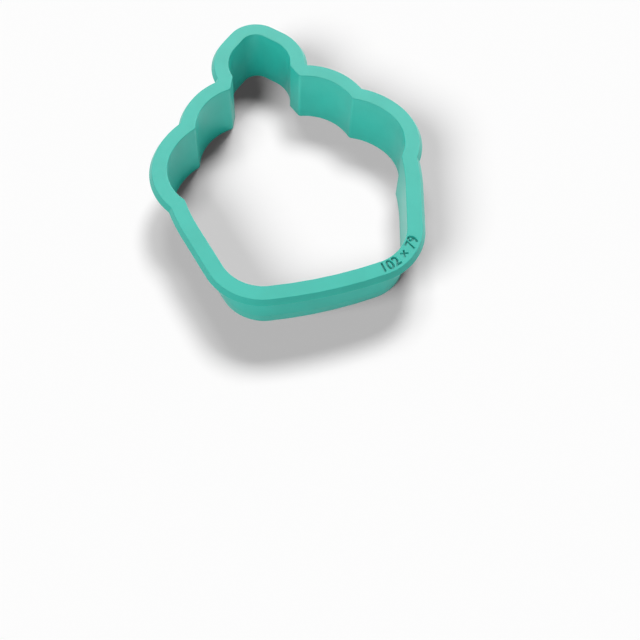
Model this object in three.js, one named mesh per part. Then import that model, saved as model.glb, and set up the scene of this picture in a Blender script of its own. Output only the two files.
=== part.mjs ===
// A teal plastic cookie cutter in the outline of a cupcake with a lit candle.
// Millimetres, +Z up. It stands on its cutting edge with the broad grip rim on top, and the flame
// points along +Y. The origin is at the centre of the cutter's box, on the plane of the cutting edge.
// The body is built up in three zones that lie face to face: the cutting edge, the wall and the rim.
import * as THREE from 'three';

// Cross-section of the ring, measured outwards from the cutting outline
const CUTTER_HEIGHT = 21.1;
const RIM_TOP_WIDTH = 4.9; // the rim's flat top
const RIM_WIDTH = 6.1; // the rim at its underside, below the bevelled side
const RIM_THICKNESS = 2.2;
const RIM_EDGE_ROUND = 0.2;
const WALL_ROOT = 1.6; // wall thickness under the rim
const EDGE_ROOT = 1.2; // wall thickness where the cutting edge begins
const EDGE_HEIGHT = 4.0;
const EDGE_LAND = 0.8; // flat left along the cutting edge

// Cutting outline, from the foot of the cup to the tip of the flame; angles are in degrees.
// On a round, an angle is counted from +X about that round's own centre.
const FOOT_RADIUS = 141.0; // the slow curve of the cup's foot
const FOOT_CORNER_RADIUS = 14.4;
const CUP_SIDE_LEAN = 15.5; // from upright
const BRIM_HALF_WIDTH = 36.1; // centre line to the notch under the frosting
const BRIM_HEIGHT = 38.3; // foot to that notch
const BRIM_LEAN = 4.8; // what is left of the side's lean at the notch
const BRIM_BEND_RADIUS = 59.0;
const LOWER_ROLL_TUCK = 39.3; // how far below level the lower roll of frosting tucks in to the notch
const LOWER_ROLL_SIDE_RADIUS = 15.6;
const LOWER_ROLL_TURN = 27.0; // where the roll's side passes into its flatter top
const LOWER_ROLL_TOP_RADIUS = 21.7;
const LOWER_ROLL_END = 67.0;
const UPPER_ROLL_START = 12.0;
const UPPER_ROLL_RADIUS = 17.5;
const UPPER_ROLL_END = 82.7;
const CANDLE_SIDE_LENGTH = 5.8;
const CANDLE_SIDE_LEAN = 21.0; // from upright
const FLAME_RIGHT_START = -21.7;
const FLAME_RIGHT_RADIUS = 11.0;
const FLAME_LEFT_START = -15.8; // counted as if mirrored to the right
const FLAME_LEFT_RADIUS = 11.9;
const FLAME_TIP_RISE = 8.41; // right bulge's centre to the tip's centre
const FLAME_TIP_LEAN = 0.7; // the tip's centre from the centre line
const FLAME_TIP_RADIUS = 4.6;

// Facets
const CHORD_ERROR = 0.02; // how far a facet may fall short of its arc
const ROUND_STEPS = 3; // facets across a rounded edge of the rim

// Finish
const TEAL = 0x54c3b2;
const SATIN = 0.45;

// A unit vector at an angle in degrees.
function heading(degrees) {
  const angle = THREE.MathUtils.degToRad(degrees);
  return new THREE.Vector2(Math.cos(angle), Math.sin(angle));
}

// The point of a circle that lies in a unit direction from its centre.
function pointOn(circle, direction) {
  return circle.centre.clone().addScaledVector(direction, circle.radius);
}

// The circle on which a given point lies at a given angle.
function circleThrough(point, degrees, radius) {
  return { centre: point.clone().addScaledVector(heading(degrees), -radius), radius };
}

// Where two circles cross, on the side farther from the centre line.
function crossing(first, second) {
  const span = second.centre.clone().sub(first.centre);
  const gap = span.length();
  const along = (first.radius ** 2 - second.radius ** 2 + gap ** 2) / (2 * gap);
  const across = Math.sqrt(first.radius ** 2 - along ** 2);
  const sideways = new THREE.Vector2(span.y, -span.x).setLength(across);
  const middle = first.centre.clone().addScaledVector(span, along / gap);
  return middle.addScaledVector(sideways, Math.sign(sideways.x));
}

// The two points where a line enters and leaves a circle.
function throughCircle(point, direction, circle) {
  const reach = circle.centre.clone().sub(point);
  const nearest = reach.dot(direction);
  const half = Math.sqrt(circle.radius ** 2 - reach.lengthSq() + nearest ** 2);
  return [nearest - half, nearest + half].map((along) => point.clone().addScaledVector(direction, along));
}

// The direction from both centres to the straight that touches a circle and a smaller one on the right.
function tangentOut(circle, smaller) {
  const span = smaller.centre.clone().sub(circle.centre);
  const narrowing = Math.acos((circle.radius - smaller.radius) / span.length());
  return heading(THREE.MathUtils.radToDeg(span.angle() - narrowing));
}

// A point or a curve carried over to the other side of the centre line; a curve also runs backwards,
// so that the whole outline stays anticlockwise.
function mirroredPoint(point) {
  return new THREE.Vector2(-point.x, point.y);
}

function mirroredCurve(curve) {
  if (curve.isLineCurve) return new THREE.LineCurve(mirroredPoint(curve.v2), mirroredPoint(curve.v1));
  const { aX, aY, xRadius, aStartAngle, aEndAngle } = curve;
  return new THREE.EllipseCurve(-aX, aY, xRadius, xRadius, Math.PI - aEndAngle, Math.PI - aStartAngle);
}

function arc(circle, start, end, clockwise = false) {
  const { centre, radius } = circle;
  const from = start.clone().sub(centre).angle();
  const to = end.clone().sub(centre).angle();
  return new THREE.EllipseCurve(centre.x, centre.y, radius, radius, from, to, clockwise);
}

// The rounds of the outline. Each starts where the one below it ends, so the shape grows from the
// foot of the cup upwards.
const notch = new THREE.Vector2(BRIM_HALF_WIDTH, BRIM_HEIGHT);
const bend = circleThrough(notch, -BRIM_LEAN, BRIM_BEND_RADIUS);
const foot = { centre: new THREE.Vector2(0, FOOT_RADIUS), radius: FOOT_RADIUS };

// The corner rolls along inside the cup's side until it touches the foot from within.
const cupSideOut = heading(-CUP_SIDE_LEAN);
const cupSideUp = heading(90 - CUP_SIDE_LEAN);
const cornerTrack = bend.centre.clone().addScaledVector(cupSideOut, BRIM_BEND_RADIUS - FOOT_CORNER_RADIUS);
const cornerReach = { centre: foot.centre, radius: FOOT_RADIUS - FOOT_CORNER_RADIUS };
const [cornerCentre] = throughCircle(cornerTrack, cupSideUp, cornerReach);
const corner = { centre: cornerCentre, radius: FOOT_CORNER_RADIUS };
const footEnd = corner.centre.clone().sub(foot.centre).normalize();

const rollTurn = heading(LOWER_ROLL_TURN);
const lowerRollSide = circleThrough(notch, -LOWER_ROLL_TUCK, LOWER_ROLL_SIDE_RADIUS);
const lowerRollTop = circleThrough(pointOn(lowerRollSide, rollTurn), LOWER_ROLL_TURN, LOWER_ROLL_TOP_RADIUS);
const rollNotch = pointOn(lowerRollTop, heading(LOWER_ROLL_END));
const upperRoll = circleThrough(rollNotch, UPPER_ROLL_START, UPPER_ROLL_RADIUS);

const candleOut = heading(CANDLE_SIDE_LEAN);
const candleUp = heading(90 + CANDLE_SIDE_LEAN);
const candleFoot = pointOn(upperRoll, heading(UPPER_ROLL_END));
const neck = candleFoot.clone().addScaledVector(candleUp, CANDLE_SIDE_LENGTH);

const flameRight = circleThrough(neck, FLAME_RIGHT_START, FLAME_RIGHT_RADIUS);
const tipCentre = new THREE.Vector2(FLAME_TIP_LEAN, flameRight.centre.y + FLAME_TIP_RISE);
const tip = { centre: tipCentre, radius: FLAME_TIP_RADIUS };

// The flame's sides are straight from bulge to tip. The left one is worked out as if mirrored to the right.
const flameLeft = circleThrough(neck, FLAME_LEFT_START, FLAME_LEFT_RADIUS);
const tipMirrored = { centre: mirroredPoint(tip.centre), radius: FLAME_TIP_RADIUS };
const rightSideOut = tangentOut(flameRight, tip);
const leftSideOut = tangentOut(flameLeft, tipMirrored);

const cutLength = tip.centre.y + FLAME_TIP_RADIUS;

// The outline at an even distance outside the cutting outline, as curves in anticlockwise order.
// Rounds keep their centres and straights move out, so each notch is cut again where they now meet.
function outline(distance) {
  const grown = (circle) => ({ centre: circle.centre, radius: circle.radius + distance });
  const moved = candleFoot.clone().addScaledVector(candleOut, distance);
  const wideFoot = grown(foot);
  const wideCorner = grown(corner);
  const wideBend = grown(bend);
  const wideRollSide = grown(lowerRollSide);
  const wideRollTop = grown(lowerRollTop);
  const wideUpperRoll = grown(upperRoll);
  const wideRight = grown(flameRight);
  const wideLeft = grown(flameLeft);
  const wideTip = grown(tip);

  const cornerStart = pointOn(wideFoot, footEnd);
  const sideStart = pointOn(wideCorner, cupSideOut);
  const sideEnd = pointOn(wideBend, cupSideOut);
  const wideNotch = crossing(wideBend, wideRollSide);
  const rollTop = pointOn(wideRollSide, rollTurn);
  const wideRollNotch = crossing(wideRollTop, wideUpperRoll);
  const candleStart = throughCircle(moved, candleUp, wideUpperRoll)[1];
  const rightNeck = throughCircle(moved, candleUp, wideRight)[0];
  const leftNeck = throughCircle(moved, candleUp, wideLeft)[0];
  const rightSideStart = pointOn(wideRight, rightSideOut);
  const rightSideEnd = pointOn(wideTip, rightSideOut);
  const leftSideStart = pointOn(wideLeft, leftSideOut);
  const leftSideEnd = pointOn(grown(tipMirrored), leftSideOut);

  const cupAndFrosting = [
    arc(wideCorner, cornerStart, sideStart),
    new THREE.LineCurve(sideStart, sideEnd),
    arc(wideBend, sideEnd, wideNotch),
    arc(wideRollSide, wideNotch, rollTop),
    arc(wideRollTop, rollTop, wideRollNotch),
    arc(wideUpperRoll, wideRollNotch, candleStart),
  ];
  const rightFlame = [
    new THREE.LineCurve(candleStart, rightNeck),
    arc(wideRight, rightNeck, rightSideStart),
    new THREE.LineCurve(rightSideStart, rightSideEnd),
  ];
  const leftFlame = [
    new THREE.LineCurve(candleStart, leftNeck),
    arc(wideLeft, leftNeck, leftSideStart),
    new THREE.LineCurve(leftSideStart, leftSideEnd),
  ];
  return [
    arc(wideFoot, mirroredPoint(cornerStart), cornerStart),
    ...cupAndFrosting,
    ...rightFlame,
    arc(wideTip, rightSideEnd, mirroredPoint(leftSideEnd)),
    ...[...cupAndFrosting, ...leftFlame].reverse().map(mirroredCurve),
  ];
}

// How many facets each curve of the outline gets, the same at every distance.
const facets = outline(0).map((curve) => {
  if (curve.isLineCurve) return 1;
  const facetAngle = 2 * Math.acos(1 - CHORD_ERROR / curve.xRadius);
  return Math.ceil(curve.getLength() / curve.xRadius / facetAngle);
});

// One closed ring of points around the outline, at a distance outside it and a height.
function ring(distance, height) {
  return outline(distance).flatMap((curve, k) =>
    Array.from({ length: facets[k] }, (_, step) => {
      const { x, y } = curve.getPoint(step / facets[k]);
      return [x, y, height];
    }),
  );
}

// A closed cross-section of corners { distance, height, round }, clockwise from the inner foot.
// A corner with a round becomes a short arc.
function section(corners) {
  const points = corners.map(({ distance, height }) => new THREE.Vector2(distance, height));
  return corners.flatMap(({ round }, k) => {
    const here = points[k];
    if (!round) return [here];
    const back = points.at(k - 1).clone().sub(here).normalize();
    const ahead = points[(k + 1) % points.length].clone().sub(here).normalize();
    const halfAngle = back.angleTo(ahead) / 2;
    const inwards = back.clone().add(ahead).normalize();
    const centre = here.clone().addScaledVector(inwards, round / Math.sin(halfAngle));
    const start = here.clone().addScaledVector(back, round / Math.tan(halfAngle));
    const end = here.clone().addScaledVector(ahead, round / Math.tan(halfAngle));
    return arc({ centre, radius: round }, start, end, true).getPoints(ROUND_STEPS);
  });
}

// The solid that a cross-section makes when it is carried once around the outline.
function carriedAround(corners) {
  const rings = section(corners).map((point) => ring(point.x, point.y));
  const around = rings[0].length;
  const index = [];
  rings.forEach((_, j) => {
    const row = j * around;
    const nextRow = ((j + 1) % rings.length) * around;
    for (let i = 0; i < around; i += 1) {
      const next = (i + 1) % around;
      index.push(row + i, nextRow + i, nextRow + next);
      index.push(row + i, nextRow + next, row + next);
    }
  });
  const geometry = new THREE.BufferGeometry();
  geometry.setAttribute('position', new THREE.Float32BufferAttribute(rings.flat(2), 3));
  geometry.setIndex(index);
  geometry.computeVertexNormals();
  return geometry;
}

function tealPiece(name, corners) {
  const plastic = new THREE.MeshStandardMaterial({ color: TEAL, roughness: SATIN, metalness: 0 });
  const mesh = new THREE.Mesh(carriedAround(corners), plastic);
  mesh.name = name;
  return mesh;
}

const rimUnderside = CUTTER_HEIGHT - RIM_THICKNESS;

// The broad flat rim that the palm presses on: flush with the wall inside, and outside a bevelled overhang.
const gripRim = tealPiece('grip_rim', [
  { distance: 0, height: rimUnderside },
  { distance: 0, height: CUTTER_HEIGHT, round: RIM_EDGE_ROUND },
  { distance: RIM_TOP_WIDTH, height: CUTTER_HEIGHT, round: RIM_EDGE_ROUND },
  { distance: RIM_WIDTH, height: rimUnderside, round: RIM_EDGE_ROUND },
]);

// The wall under the rim: upright inside, so that the dough keeps its outline, and tapering outside.
const cutterWall = tealPiece('cutter_wall', [
  { distance: 0, height: EDGE_HEIGHT },
  { distance: 0, height: rimUnderside },
  { distance: WALL_ROOT, height: rimUnderside },
  { distance: EDGE_ROOT, height: EDGE_HEIGHT },
]);

// The cutting edge: the foot of the wall, thinned from outside down to a narrow land.
const cuttingEdge = tealPiece('cutting_edge', [
  { distance: 0, height: 0 },
  { distance: 0, height: EDGE_HEIGHT },
  { distance: EDGE_ROOT, height: EDGE_HEIGHT },
  { distance: EDGE_LAND, height: 0 },
]);

const cookieCutter = new THREE.Group();
cookieCutter.add(gripRim, cutterWall, cuttingEdge);
cookieCutter.position.y = -cutLength / 2;

export default cookieCutter;
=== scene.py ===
"""A teal cookie cutter in the outline of a cupcake with a lit candle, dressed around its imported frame."""
import cmath
import math

import bpy
from mathutils import Matrix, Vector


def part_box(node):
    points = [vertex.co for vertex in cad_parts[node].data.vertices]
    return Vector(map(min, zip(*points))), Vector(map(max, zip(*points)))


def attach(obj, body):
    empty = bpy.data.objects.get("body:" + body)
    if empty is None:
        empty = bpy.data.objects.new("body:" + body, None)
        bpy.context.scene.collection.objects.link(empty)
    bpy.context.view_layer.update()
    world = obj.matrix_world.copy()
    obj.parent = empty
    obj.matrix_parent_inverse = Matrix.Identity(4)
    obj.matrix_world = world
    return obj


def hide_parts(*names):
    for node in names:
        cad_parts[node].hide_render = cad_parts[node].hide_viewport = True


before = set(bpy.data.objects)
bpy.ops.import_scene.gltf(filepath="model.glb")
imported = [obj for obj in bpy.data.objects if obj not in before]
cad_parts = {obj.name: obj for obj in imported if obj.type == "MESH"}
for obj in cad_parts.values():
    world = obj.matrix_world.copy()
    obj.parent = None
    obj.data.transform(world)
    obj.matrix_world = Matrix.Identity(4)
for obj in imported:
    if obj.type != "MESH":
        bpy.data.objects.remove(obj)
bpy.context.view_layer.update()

# Grip rim
# The broad flat band on top that the palm presses on, of satin teal plastic. It is moulded in one with
# the wall under it: flush with it inside, and outside a bevelled overhang, with its edges just broken.
mm = 0.001
rim_top_width = 4.9 * mm
rim_width = 6.1 * mm
rim_edge_round = 0.2 * mm
rim_edge_facets = 6

# The cutting outline from the foot of the cup to the tip of the flame, in millimetres. Angles are in
# degrees: a lean is from upright, and on a round an angle is counted from +X about the round's centre.
# The flame's tip and the creases are softer than in the plain solids, by about a third of a millimetre.
cut_length = 101.6
foot_radius = 141.0
foot_corner_radius = 14.4
cup_side_lean = 15.5
brim_half_width = 36.1
brim_height = 38.3
brim_lean = 4.8
brim_bend_radius = 59.0
lower_roll_tuck = 39.3
lower_roll_side_radius = 15.6
lower_roll_turn = 27.0
lower_roll_top_radius = 21.7
lower_roll_end = 67.0
upper_roll_start = 12.0
upper_roll_radius = 17.5
upper_roll_end = 82.7
candle_side_length = 5.8
candle_side_lean = 21.0
flame_right_start = -21.7
flame_right_radius = 11.0
flame_left_start = -15.8
flame_left_radius = 11.9
flame_tip_rise = 7.16
flame_tip_offset = 0.65
flame_tip_radius = 5.5
crease_radius = 1.5
arc_step = math.radians(3)
straight_step = 2.0


# Points of the outline are complex numbers, x + yj.
def toward(degrees):
    return cmath.rect(1, math.radians(degrees))


def mirrored(point):
    return -point.conjugate()


def crossing(first, first_radius, second, second_radius):
    """Where two circles cross, on the side farther from the centre line."""
    gap = abs(second - first)
    along = (first_radius**2 - second_radius**2 + gap**2) / (2 * gap)
    across = math.sqrt(first_radius**2 - along**2)
    ahead = (second - first) / gap
    return max((first + ahead * complex(along, side) for side in (across, -across)), key=lambda p: p.real)


def through_circle(point, ahead, centre, radius):
    """Where a line through a point enters and leaves a circle."""
    reach = (centre - point) / ahead
    half = math.sqrt(radius**2 - reach.imag**2)
    return point + ahead * (reach.real - half), point + ahead * (reach.real + half)


def tangent_out(centre, radius, smaller, smaller_radius):
    """The direction from both centres to the straight that touches two circles on the right."""
    narrowing = math.acos((radius - smaller_radius) / abs(smaller - centre))
    return (smaller - centre) / abs(smaller - centre) * cmath.rect(1, -narrowing)


# The centres of the rounds. Each round starts where the one below it ends; the flame's left bulge is
# worked out as if it were mirrored to the right.
notch = complex(brim_half_width, brim_height)
foot = 1j * foot_radius
bend = notch - brim_bend_radius * toward(-brim_lean)
cup_side_out = toward(-cup_side_lean)
corner_track = bend + (brim_bend_radius - foot_corner_radius) * cup_side_out
corner = through_circle(corner_track, 1j * cup_side_out, foot, foot_radius - foot_corner_radius)[0]
foot_end = (corner - foot) / abs(corner - foot)
roll_turn = toward(lower_roll_turn)
roll_side = notch - lower_roll_side_radius * toward(-lower_roll_tuck)
roll_top = roll_side + (lower_roll_side_radius - lower_roll_top_radius) * roll_turn
roll_notch = roll_top + lower_roll_top_radius * toward(lower_roll_end)
upper_roll = roll_notch - upper_roll_radius * toward(upper_roll_start)
candle_out = toward(candle_side_lean)
candle_foot = upper_roll + upper_roll_radius * toward(upper_roll_end)
neck = candle_foot + candle_side_length * 1j * candle_out
flame_right = neck - flame_right_radius * toward(flame_right_start)
flame_left = neck - flame_left_radius * toward(flame_left_start)
tip = complex(flame_tip_offset, flame_right.imag + flame_tip_rise)
right_side_out = tangent_out(flame_right, flame_right_radius, tip, flame_tip_radius)
left_side_out = tangent_out(flame_left, flame_left_radius, mirrored(tip), flame_tip_radius)


def notches(out):
    """Where neighbours meet at an even distance outside the cut, from the brim up to the flame.

    Rounds keep their centres as they grow, so each notch is cut again where its two neighbours now meet.
    """
    candle = candle_foot + out * candle_out
    return (
        crossing(bend, brim_bend_radius + out, roll_side, lower_roll_side_radius + out),
        crossing(roll_top, lower_roll_top_radius + out, upper_roll, upper_roll_radius + out),
        through_circle(candle, 1j * candle_out, upper_roll, upper_roll_radius + out)[1],
        through_circle(candle, 1j * candle_out, flame_right, flame_right_radius + out)[0],
        through_circle(candle, 1j * candle_out, flame_left, flame_left_radius + out)[0],
    )


def outline(out):
    """Legs (centre, start, end) of the outline, anticlockwise, at an even distance outside the cut.

    A straight leg has no centre. Inside, each notch is a crease with its edge taken off: a leg that
    turns the other way, about the place where the notch is sharp again, and shrinks towards it.
    """
    neighbours = (
        (bend, roll_side),
        (roll_top, upper_roll),
        (upper_roll, None),
        (None, flame_right),
        (None, flame_left),
    )
    creases = []
    for middles, hub, notch_here in zip(neighbours, notches(crease_radius), notches(out)):
        if out < crease_radius:
            facing = [candle_out if m is None else (hub - m) / abs(hub - m) for m in middles]
            start, end = (hub - (crease_radius - out) * way for way in facing)
            creases.append((hub, start, end))
        else:
            creases.append((None, notch_here, notch_here))
    brim, dent, candle_start, right_neck, left_neck = creases
    corner_start = foot + (foot_radius + out) * foot_end
    side_start = corner + (foot_corner_radius + out) * cup_side_out
    side_end = bend + (brim_bend_radius + out) * cup_side_out
    turn = roll_side + (lower_roll_side_radius + out) * roll_turn
    right_bulge_end = flame_right + (flame_right_radius + out) * right_side_out
    right_tip = tip + (flame_tip_radius + out) * right_side_out
    left_bulge_end = flame_left + (flame_left_radius + out) * left_side_out
    left_tip = mirrored(tip) + (flame_tip_radius + out) * left_side_out
    cup_and_frosting = [
        (corner, corner_start, side_start),
        (None, side_start, side_end),
        (bend, side_end, brim[1]),
        brim,
        (roll_side, brim[2], turn),
        (roll_top, turn, dent[1]),
        dent,
        (upper_roll, dent[2], candle_start[1]),
        candle_start,
    ]
    right_flame = [
        (None, candle_start[2], right_neck[1]),
        right_neck,
        (flame_right, right_neck[2], right_bulge_end),
        (None, right_bulge_end, right_tip),
    ]
    left_flame = [
        (None, candle_start[2], left_neck[1]),
        left_neck,
        (flame_left, left_neck[2], left_bulge_end),
        (None, left_bulge_end, left_tip),
    ]
    left_side = [
        (None if centre is None else mirrored(centre), mirrored(end), mirrored(start))
        for centre, start, end in reversed(cup_and_frosting + left_flame)
    ]
    return [
        (foot, mirrored(corner_start), corner_start),
        *cup_and_frosting,
        *right_flame,
        (tip, right_tip, mirrored(left_tip)),
        *left_side,
    ]


def leg_steps(centre, start, end):
    """How many steps a leg is walked in."""
    if centre is None:
        return math.ceil(abs(end - start) / straight_step)
    return math.ceil(abs(cmath.phase((end - centre) / (start - centre))) / arc_step)


def point_along(leg, share):
    """The point of a leg that lies a share of the way along it."""
    centre, start, end = leg
    if centre is None:
        return start + (end - start) * share
    return centre + (start - centre) * ((end - centre) / (start - centre)) ** share


def loop_at(out):
    """The outline at a distance as one closed loop of points in the frame, in metres."""
    points = [
        point_along(leg, step / steps)
        for leg, steps in zip(outline(out), outline_steps)
        for step in range(steps)
    ]
    return [(p.real * mm, (p.imag - cut_length / 2) * mm, 0.0) for p in points]


outline_steps = [leg_steps(*leg) for leg in outline(0)]


class Wire:
    """One output socket of a node tree. Arithmetic on wires adds the nodes that work it out."""

    def __init__(self, tree, socket=None):
        self.tree = tree
        self.socket = socket

    def node(self, kind, settings=None, sockets=None, output=0):
        """Adds a node to the tree. A socket takes a value, a wire or a list of wires."""
        made = self.tree.nodes.new(kind)
        for name, value in (settings or {}).items():
            if name == "stops":
                for stop, (position, colour) in zip(made.color_ramp.elements, value):
                    stop.position = position
                    stop.color = colour
            else:
                setattr(made, name, value)
        for name, value in (sockets or {}).items():
            for item in value if isinstance(value, list) else [value]:
                if isinstance(item, Wire):
                    self.tree.links.new(item.socket, made.inputs[name])
                else:
                    made.inputs[name].default_value = item
        return Wire(self.tree, made.outputs[output] if made.outputs else None)

    def maths(self, operation, other):
        vector = any(isinstance(term, Wire) and term.socket.type == "VECTOR" for term in (self, other))
        kind = "ShaderNodeVectorMath" if vector else "ShaderNodeMath"
        return self.node(kind, {"operation": operation}, {0: self, 1: other})

    def __add__(self, other):
        return self.maths("ADD", other)

    def __sub__(self, other):
        return self.maths("SUBTRACT", other)

    def __mul__(self, other):
        return self.maths("MULTIPLY", other)

    def __truediv__(self, other):
        return self.maths("DIVIDE", other)

    __radd__ = __add__
    __rmul__ = __mul__


def geometry_tree(name, inputs):
    """A geometry tree with named inputs. Returns the tree, a wire to build on and the inputs' wires."""
    tree = bpy.data.node_groups.new(name, "GeometryNodeTree")
    tree.interface.new_socket("Geometry", in_out="INPUT", socket_type="NodeSocketGeometry")
    tree.interface.new_socket("Geometry", in_out="OUTPUT", socket_type="NodeSocketGeometry")
    for label, kind in inputs.items():
        tree.interface.new_socket(label, in_out="INPUT", socket_type=f"NodeSocket{kind}")
    start = tree.nodes.new("NodeGroupInput")
    return tree, Wire(tree), {socket.name: Wire(tree, socket) for socket in start.outputs if socket.name}


crisp_angle = math.radians(30)
weld_gap = 1e-4 * mm


def end_tree(build, mesh, plastic):
    """Ends a tree: edges past the crisp angle stay sharp, the rest is smooth, all in one plastic."""
    angle = build.node("GeometryNodeInputMeshEdgeAngle")
    crisp = build.node("ShaderNodeMath", {"operation": "GREATER_THAN"}, {0: angle, 1: crisp_angle})
    smooth = build.node("GeometryNodeSetShadeSmooth", {"domain": "FACE"}, {"Geometry": mesh})
    edged = build.node(
        "GeometryNodeSetShadeSmooth",
        {"domain": "EDGE"},
        {"Geometry": smooth, "Selection": crisp, "Shade Smooth": False},
    )
    whole = build.node("GeometryNodeRealizeInstances", None, {"Geometry": edged})
    dressed = build.node("GeometryNodeSetMaterial", None, {"Geometry": whole, "Material": plastic})
    build.node("NodeGroupOutput", None, {"Geometry": dressed})


def section_carrier():
    """The tree that carries a four-cornered section once around the outline, between two rails.

    Every point of the inner rail knows its partner on the outer rail. A point of the section lies its
    own share of the way from one rail to the other, at its own height.
    """
    tree, build, given = geometry_tree(
        "section carried around the outline",
        {
            "Rail gap": "Float",
            "Low height": "Float",
            "High height": "Float",
            "Low reach": "Float",
            "High reach": "Float",
            "Edge round": "Float",
            "Edge facets": "Int",
            "Plastic": "Material",
        },
    )

    def corner_at(reach, height):
        return build.node("ShaderNodeCombineXYZ", None, {"X": reach, "Y": height})

    section = build.node(
        "GeometryNodeCurvePrimitiveQuadrilateral",
        {"mode": "POINTS"},
        {
            "Point 1": corner_at(0.0, given["Low height"]),
            "Point 2": corner_at(0.0, given["High height"]),
            "Point 3": corner_at(given["High reach"], given["High height"]),
            "Point 4": corner_at(given["Low reach"], given["Low height"]),
        },
    )
    beyond_inner_foot = build.node(
        "FunctionNodeCompare",
        {"data_type": "INT", "operation": "GREATER_THAN"},
        {2: build.node("GeometryNodeInputIndex"), 3: 0},
    )
    rounded = build.node(
        "GeometryNodeFilletCurve",
        {"mode": "POLY"},
        {
            "Curve": section,
            "Count": given["Edge facets"],
            "Radius": given["Edge round"] * beyond_inner_foot,
        },
    )
    placed = build.node(
        "GeometryNodeStoreNamedAttribute",
        {"data_type": "FLOAT_VECTOR"},
        {"Geometry": rounded, "Name": "section", "Value": build.node("GeometryNodeInputPosition")},
    )
    rail = build.node("GeometryNodeMeshToCurve", None, {"Mesh": given["Geometry"]})
    swept = build.node("GeometryNodeCurveToMesh", None, {"Curve": rail, "Profile Curve": placed})

    def kept(name):
        return build.node("GeometryNodeInputNamedAttribute", {"data_type": "FLOAT_VECTOR"}, {"Name": name})

    reach = build.node("ShaderNodeSeparateXYZ", None, {"Vector": kept("section")}, "X")
    height = build.node("ShaderNodeSeparateXYZ", None, {"Vector": kept("section")}, "Y")
    lift = build.node("ShaderNodeCombineXYZ", None, {"Z": height})
    place = kept("inner") + (kept("outer") - kept("inner")) * (reach / given["Rail gap"]) + lift
    seated = build.node("GeometryNodeSetPosition", None, {"Geometry": swept, "Position": place})
    clean = build.node("GeometryNodeMergeByDistance", None, {"Geometry": seated, "Distance": weld_gap})
    for name in ("section", "inner", "outer"):
        clean = build.node("GeometryNodeRemoveAttribute", None, {"Geometry": clean, "Name": name})
    end_tree(build, clean, given["Plastic"])
    return tree


def set_inputs(modifier, values):
    """Sets a modifier's inputs by the names that they have in its tree."""
    for socket in modifier.node_group.interface.items_tree:
        if socket.in_out == "INPUT" and socket.name in values:
            modifier[socket.identifier] = values[socket.name]


def rails_mesh(name):
    """The inner rail as a closed line, with both rails' places kept on its points."""
    inner = loop_at(0)
    mesh = bpy.data.meshes.new(name)
    mesh.from_pydata(inner, [(k, (k + 1) % len(inner)) for k in range(len(inner))], [])
    for label, places in (("inner", inner), ("outer", loop_at(rim_width / mm))):
        kept = mesh.attributes.new(label, "FLOAT_VECTOR", "POINT")
        kept.data.foreach_set("vector", [value for place in places for value in place])
    return mesh


def made_plain(piece):
    """Turns a piece into the plain mesh that its modifiers make."""
    graph = bpy.context.evaluated_depsgraph_get()
    shown = piece.evaluated_get(graph)
    plain = bpy.data.meshes.new_from_object(shown, preserve_all_data_layers=True, depsgraph=graph)
    piece.modifiers.clear()
    piece.data = plain
    piece.data.name = piece.name


carried_section = section_carrier()

deep_teal = (0.016, 0.500, 0.402, 1)
light_teal = (0.022, 0.540, 0.438, 1)
deep_below = 0.3
light_above = 0.7
satin = 0.33
satin_drift = 0.06
noise_middle = 0.5
cloud_size = 9 * mm
cloud_detail = 3.0
grain_size = 0.45 * mm
grain_detail = 1.0
grain_depth = 0.004 * mm


def teal_plastic():
    """Satin plastic: colour that drifts a little from place to place, and a very fine grain."""
    plastic = bpy.data.materials.new("teal plastic")
    plastic.use_nodes = True
    tree = plastic.node_tree
    build = Wire(tree)
    surface = tree.nodes["Principled BSDF"]
    place = build.node("ShaderNodeTexCoord", None, None, "Object")

    def noise(size, detail):
        sockets = {"Vector": place, "Scale": 1 / size, "Detail": detail}
        return build.node("ShaderNodeTexNoise", None, sockets)

    clouds = noise(cloud_size, cloud_detail)
    grain = noise(grain_size, grain_detail)
    stops = [(deep_below, deep_teal), (light_above, light_teal)]
    teal = build.node("ShaderNodeValToRGB", {"stops": stops}, {"Fac": clouds})
    cloud_drift = satin_drift * (clouds - noise_middle)
    grain_drift = satin_drift * (grain - noise_middle)
    roughness = satin + cloud_drift + grain_drift
    relief = build.node("ShaderNodeBump", None, {"Distance": grain_depth, "Height": grain})
    tree.links.new(teal.socket, surface.inputs["Base Color"])
    tree.links.new(roughness.socket, surface.inputs["Roughness"])
    tree.links.new(relief.socket, surface.inputs["Normal"])
    return plastic


def carried_piece(name, node, low_reach, high_reach, edge_round):
    """A piece of the ring, between the heights of the CAD node that it stands for."""
    low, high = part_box(node)
    piece = bpy.data.objects.new(name, rails_mesh(name))
    bpy.context.scene.collection.objects.link(piece)
    carried = piece.modifiers.new("carried section", "NODES")
    carried.node_group = carried_section
    set_inputs(
        carried,
        {
            "Rail gap": rim_width,
            "Low height": low.z,
            "High height": high.z,
            "Low reach": low_reach,
            "High reach": high_reach,
            "Edge round": edge_round,
            "Edge facets": rim_edge_facets,
            "Plastic": plastic,
        },
    )
    return piece


# The cut's length and width in millimetres, sunk into the rim's flat top at the right of the foot. The
# middle of the mark is measured along the rim from the left end of the foot.
size_mark = "102 \u00d7 79"
letter_size = 4.7 * mm
letter_swell = 0.24 * mm
letter_depth = 0.55 * mm
mark_middle = 43.6 * mm


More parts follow.
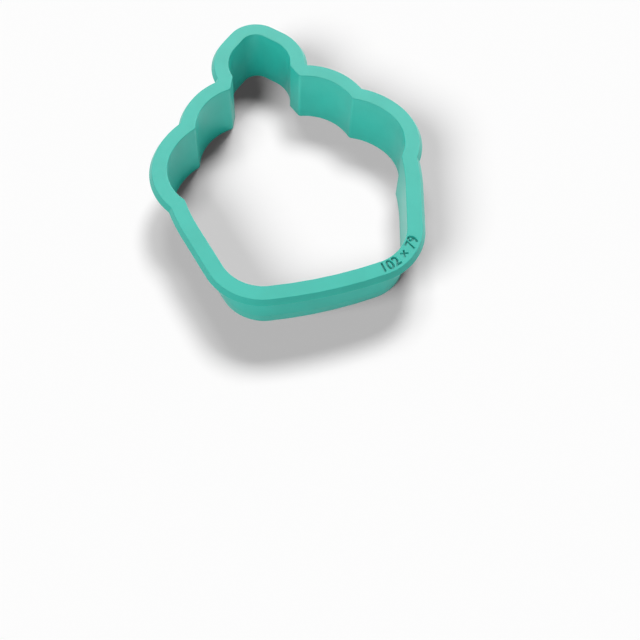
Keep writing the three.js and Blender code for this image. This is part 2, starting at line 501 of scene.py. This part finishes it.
def letters_sunk():
    """The tree that sinks a line of letters into a flat top, bent along a rail in the middle of it."""
    tree, build, given = geometry_tree(
        "letters sunk along a rail",
        {
            "Rail": "Object",
            "Letters": "String",
            "Letter size": "Float",
            "Letter swell": "Float",
            "Letter depth": "Float",
            "Middle": "Float",
            "Top height": "Float",
            "Plastic": "Material",
        },
    )
    line = build.node("GeometryNodeObjectInfo", None, {"Object": given["Rail"]}, "Geometry")
    rail = build.node("GeometryNodeMeshToCurve", None, {"Mesh": line})
    written = build.node(
        "GeometryNodeStringToCurves",
        {"align_x": "CENTER", "align_y": "MIDDLE"},
        {"String": given["Letters"], "Size": given["Letter size"]},
        "Curve Instances",
    )
    strokes = build.node("GeometryNodeRealizeInstances", None, {"Geometry": written})
    shapes = build.node("GeometryNodeFillCurve", None, {"Curve": strokes})
    spot = build.node("GeometryNodeInputPosition")
    along = build.node("ShaderNodeSeparateXYZ", None, {"Vector": spot}, "X")
    across = build.node("ShaderNodeSeparateXYZ", None, {"Vector": spot}, "Y")

    def on_rail(output):
        return build.node(
            "GeometryNodeSampleCurve",
            {"mode": "LENGTH", "use_all_curves": True},
            {"Curves": rail, "Length": given["Middle"] + along},
            output,
        )

    inward = build.node(
        "ShaderNodeVectorMath", {"operation": "CROSS_PRODUCT"}, {0: (0, 0, 1), 1: on_rail("Tangent")}
    )
    sunk = build.node("ShaderNodeCombineXYZ", None, {"Z": given["Top height"] - given["Letter depth"]})
    place = on_rail("Position") + inward * across + sunk
    bent = build.node("GeometryNodeSetPosition", None, {"Geometry": shapes, "Position": place})
    raised = build.node(
        "GeometryNodeExtrudeMesh",
        None,
        {"Mesh": bent, "Offset": (0, 0, 1), "Offset Scale": 2 * given["Letter depth"], "Individual": False},
        "Mesh",
    )
    under = build.node("GeometryNodeFlipFaces", None, {"Mesh": bent})
    shell = build.node("GeometryNodeJoinGeometry", None, {"Geometry": [raised, under]})
    sewn = build.node("GeometryNodeMergeByDistance", None, {"Geometry": shell, "Distance": weld_gap})
    outward = build.node("GeometryNodeInputNormal") * given["Letter swell"]
    stamp = build.node("GeometryNodeSetPosition", None, {"Geometry": sewn, "Offset": outward})
    marked = build.node(
        "GeometryNodeMeshBoolean",
        {"operation": "DIFFERENCE", "solver": "EXACT"},
        {"Mesh 1": given["Geometry"], "Mesh 2": stamp, "Self Intersection": True},
        "Mesh",
    )
    end_tree(build, marked, given["Plastic"])
    return tree


plastic = teal_plastic()
rim = carried_piece("rim", "grip_rim", rim_width, rim_top_width, rim_edge_round)
middle_line = bpy.data.meshes.new("middle of the rim")
middle_points = loop_at(rim_top_width / mm / 2)
middle_line.from_pydata(middle_points, [(k, k + 1) for k in range(len(middle_points) - 1)], [])
mark_rail = bpy.data.objects.new("middle of the rim", middle_line)
bpy.context.scene.collection.objects.link(mark_rail)
marking = rim.modifiers.new("size mark", "NODES")
marking.node_group = letters_sunk()
set_inputs(
    marking,
    {
        "Rail": mark_rail,
        "Letters": size_mark,
        "Letter size": letter_size,
        "Letter swell": letter_swell,
        "Letter depth": letter_depth,
        "Middle": mark_middle,
        "Top height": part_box("grip_rim")[1].z,
        "Plastic": plastic,
    },
)
rim.modifiers.new("even shading", "WEIGHTED_NORMAL").keep_sharp = True
made_plain(rim)
bpy.data.objects.remove(mark_rail)
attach(rim, "root")
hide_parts("grip_rim")

# Wall
# The thin upright band under the rim, of the same plastic. It is straight inside, so that the dough
# keeps its outline, and it thins a little downwards outside, as a moulded wall does.
wall_root = 1.6 * mm
edge_root = 1.2 * mm

wall = carried_piece("wall", "cutter_wall", edge_root, wall_root, 0.0)
made_plain(wall)
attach(wall, "root")
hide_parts("cutter_wall")

# Cutting edge
# The foot of the wall, of the same plastic and one with it. It is thinned from outside to a narrow
# flat that parts the dough, and the cutter stands on it.
edge_land = 0.8 * mm

edge = carried_piece("cutting_edge_band", "cutting_edge", edge_land, edge_root, 0.0)
made_plain(edge)
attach(edge, "root")
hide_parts("cutting_edge")

# Floor and light
# A plain white floor in white surroundings. Three soft lamps, from the back right and from the left,
# draw the cutter's shadow on it. The others light the cutter alone; those that stand for the matt
# floor's glow come from below and leave no highlights.
floor_size = 6.0
ambient_level = 0.06
floor_colour = (1, 1, 1, 1)
floor_lamps = {
    "floor lamp behind on the right": (60.7, 55.5, 18, 0.487),
    "floor lamp behind": (89.7, 54.9, 14.5, 0.152),
    "floor lamp on the left": (207.2, 43, 30.2, 0.575),
}
cutter_lamps = {
    "lamp behind on the right": (45, 30, 40, 0.70),
    "lamp behind": (90, 30, 40, 0.25),
    "high lamp behind": (90, 60, 30, 0.12),
    "lamp on the left": (180, 30, 40, 0.22),
    "lamp in front on the left": (225, 45, 30, 0.20),
}
floor_glow = {
    "glow on the right": (0, -35, 30, 0.08),
    "glow in front": (270, -35, 30, 0.20),
    "glow on the left": (215, -35, 30, 0.09),
    "glow under the left": (150, -65, 30, 0.06),
}

floor_mesh = bpy.data.meshes.new("floor")
half = floor_size / 2
floor_corners = [(-half, -half, 0), (half, -half, 0), (half, half, 0), (-half, half, 0)]
floor_mesh.from_pydata(floor_corners, [], [(0, 1, 2, 3)])
floor = bpy.data.objects.new("floor", floor_mesh)
bpy.context.scene.collection.objects.link(floor)

pale = bpy.data.materials.new("white floor")
pale.use_nodes = True
matt = pale.node_tree.nodes["Principled BSDF"]
matt.inputs["Base Color"].default_value = floor_colour
matt.inputs["Roughness"].default_value = 1.0
matt.inputs["Specular IOR Level"].default_value = 0.0
floor_mesh.materials.append(pale)

# The surroundings are white to the camera, straight or by reflection, and light the rest faintly.
world = bpy.data.worlds.new("white surroundings")
world.use_nodes = True
surround = world.node_tree.nodes["Background"]
surround.inputs["Color"].default_value = (1, 1, 1, 1)
ray = Wire(world.node_tree)
seen_ways = ("Is Camera Ray", "Is Glossy Ray", "Is Transmission Ray")
straight, mirrored_ray, through = (ray.node("ShaderNodeLightPath", None, None, way) for way in seen_ways)
seen = straight + mirrored_ray + through
glow = ambient_level + (1 - ambient_level) * seen
world.node_tree.links.new(glow.socket, surround.inputs["Strength"])
bpy.context.scene.world = world

floor_alone = bpy.data.collections.new("floor alone")
floor_alone.objects.link(floor)
cutter_alone = bpy.data.collections.new("cutter alone")
# Light that is thrown from one surface to another passes the cutter, so lamps alone draw its shadow.
for piece in (rim, wall, edge):
    cutter_alone.objects.link(piece)
    piece.visible_diffuse = False


def soft_lamps(lamps, lit, highlights=True):
    """Distant lamps for one collection: bearing from +X, height and width in degrees, and level."""
    for name, (bearing, height, width, level) in lamps.items():
        light = bpy.data.lights.new(name, "SUN")
        light.energy = level * math.pi
        light.angle = math.radians(width)
        lamp = bpy.data.objects.new(name, light)
        lamp.rotation_euler = (math.radians(90 - height), 0, math.radians(bearing + 90))
        lamp.visible_glossy = highlights
        lamp.light_linking.receiver_collection = lit
        lamp.light_linking.blocker_collection = cutter_alone
        bpy.context.scene.collection.objects.link(lamp)


soft_lamps(floor_lamps, floor_alone)
soft_lamps(cutter_lamps, cutter_alone)
soft_lamps(floor_glow, cutter_alone, highlights=False)

# Camera
# It looks down on the cutter from in front, a little to the left.
camera_place = (-50.92 * mm, -203.41 * mm, 291.68 * mm)
camera_right = (0.96534, -0.25941, 0.02862)
camera_up = (0.21553, 0.85423, 0.47312)
camera_back = (-0.14718, -0.45056, 0.88053)
focal_length = 57.79
sensor_width = 36
nearest_seen = 10 * mm

lens = bpy.data.cameras.new("camera")
lens.lens = focal_length
lens.sensor_width = sensor_width
lens.clip_start = nearest_seen
camera = bpy.data.objects.new("camera", lens)
bpy.context.scene.collection.objects.link(camera)
axes = Matrix((camera_right, camera_up, camera_back)).transposed().to_4x4()
camera.matrix_world = Matrix.Translation(camera_place) @ axes
bpy.context.scene.camera = camera
bpy.context.scene.view_settings.view_transform = "Standard"
